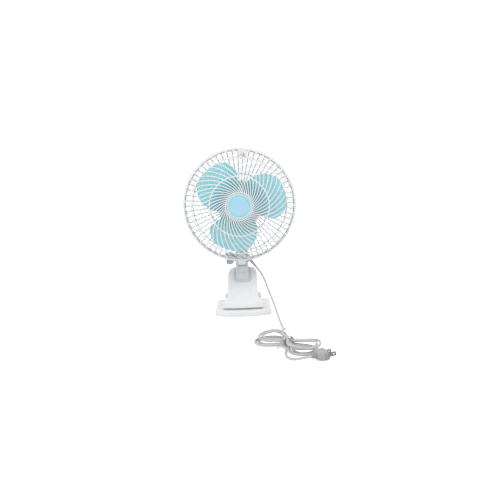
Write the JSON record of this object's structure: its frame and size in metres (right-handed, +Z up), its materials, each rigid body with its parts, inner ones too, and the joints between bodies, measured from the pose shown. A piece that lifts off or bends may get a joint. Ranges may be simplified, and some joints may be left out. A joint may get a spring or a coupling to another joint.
{
  "type": "clip fan",
  "caption": "Small clip-on table fan with a round guarded head, swirled front grille, tinted blades, tilting forked neck, sprung clip that doubles as a foot, and a tied mains cord.",
  "frame": {"origin": "on the table, under the middle of the foot and below the tilt pivot", "axes": "+Z up, -Y out of the front of the fan, +X to the right seen from the front"},
  "size_m": [0.2415, 0.3951, 0.316],
  "materials": {
    "white_plastic": "smooth glossy moulded white",
    "aqua_plastic": "tinted translucent moulding",
    "badge_blue": "glossy light blue",
    "badge_cyan": "glossy",
    "knob_teal": "glossy",
    "fork_grey": "satin moulded pale grey",
    "zinc_steel": "zinc plated",
    "ground_steel": "ground",
    "lamination_steel": "oiled laminations",
    "bracket_alloy": "die cast",
    "bush_bronze": "sintered",
    "coil_copper": "enamelled winding",
    "bobbin_nylon": "matt",
    "switch_black": "matt",
    "pad_rubber": "matt soft rubber",
    "cord_white": "smooth flexible sheath",
    "pin_brass": "plated blade"
  },
  "bodies": {
    "lower_jaw": {"lower_jaw": "white_plastic", "lower_jaw_pad": "pad_rubber", "foot_cover": "white_plastic", "foot_pad": "pad_rubber", "hinge_pin": "ground_steel", "pin_caps": "white_plastic", "clip_spring": "ground_steel", "cord_lead": "cord_white", "cord_hank": "cord_white", "cord_tie": "cord_white", "plug_body": "cord_white", "plug_pins": "pin_brass"},
    "clip_body": {"clip_body": "white_plastic", "upper_jaw_pad": "pad_rubber", "neck_fork": "fork_grey", "tilt_bolt": "zinc_steel", "tilt_washers": "zinc_steel", "cord_gland": "cord_white"},
    "head": {"motor_housing": "white_plastic", "rear_cover": "white_plastic", "rear_grille": "white_plastic", "front_grille": "white_plastic", "grille_badge": "badge_cyan", "grille_lock_screw": "zinc_steel", "grille_nut": "white_plastic", "stator_core": "lamination_steel", "coil_bobbin": "bobbin_nylon", "motor_coil": "coil_copper", "front_bracket": "bracket_alloy", "rear_bracket": "bracket_alloy", "front_bush": "bush_bronze", "rear_bush": "bush_bronze", "motor_screws": "zinc_steel", "switch_body": "switch_black"},
    "rotor": {"impeller": "aqua_plastic", "spinner_nut": "badge_blue", "shaft": "ground_steel", "rotor_core": "lamination_steel"},
    "tilt_knob": {"tilt_knob": "knob_teal"},
    "speed_knob": {"speed_knob": "knob_teal"}
  },
  "joints": [
    {"name": "clip_open", "type": "hinge", "parent": "lower_jaw", "child": "clip_body", "pos_m": [0, 0.012, 0.025], "axis": [-1, 0, 0], "range_deg": [0, 24], "stiffness_Nm_per_rad": 2.2, "springref_deg": -51.57, "deforming": ["cord_lead", "clip_spring"]},
    {"name": "head_tilt", "type": "hinge", "parent": "clip_body", "child": "head", "pos_m": [0, 0, 0.105], "axis": [-1, 0, 0], "range_deg": [-20, 40]},
    {"name": "blade_spin", "type": "hinge", "parent": "head", "child": "rotor", "pos_m": [0, 0, 0.211], "axis": [0, 1, 0], "continuous": true},
    {"name": "knob_turn", "type": "hinge", "parent": "clip_body", "child": "tilt_knob", "pos_m": [0, 0, 0.105], "axis": [1, 0, 0], "range_deg": [0, 120]},
    {"name": "speed_turn", "type": "hinge", "parent": "head", "child": "speed_knob", "pos_m": [0, 0, 0.211], "axis": [0, 1, 0], "range_deg": [0, 90]}
  ]
}
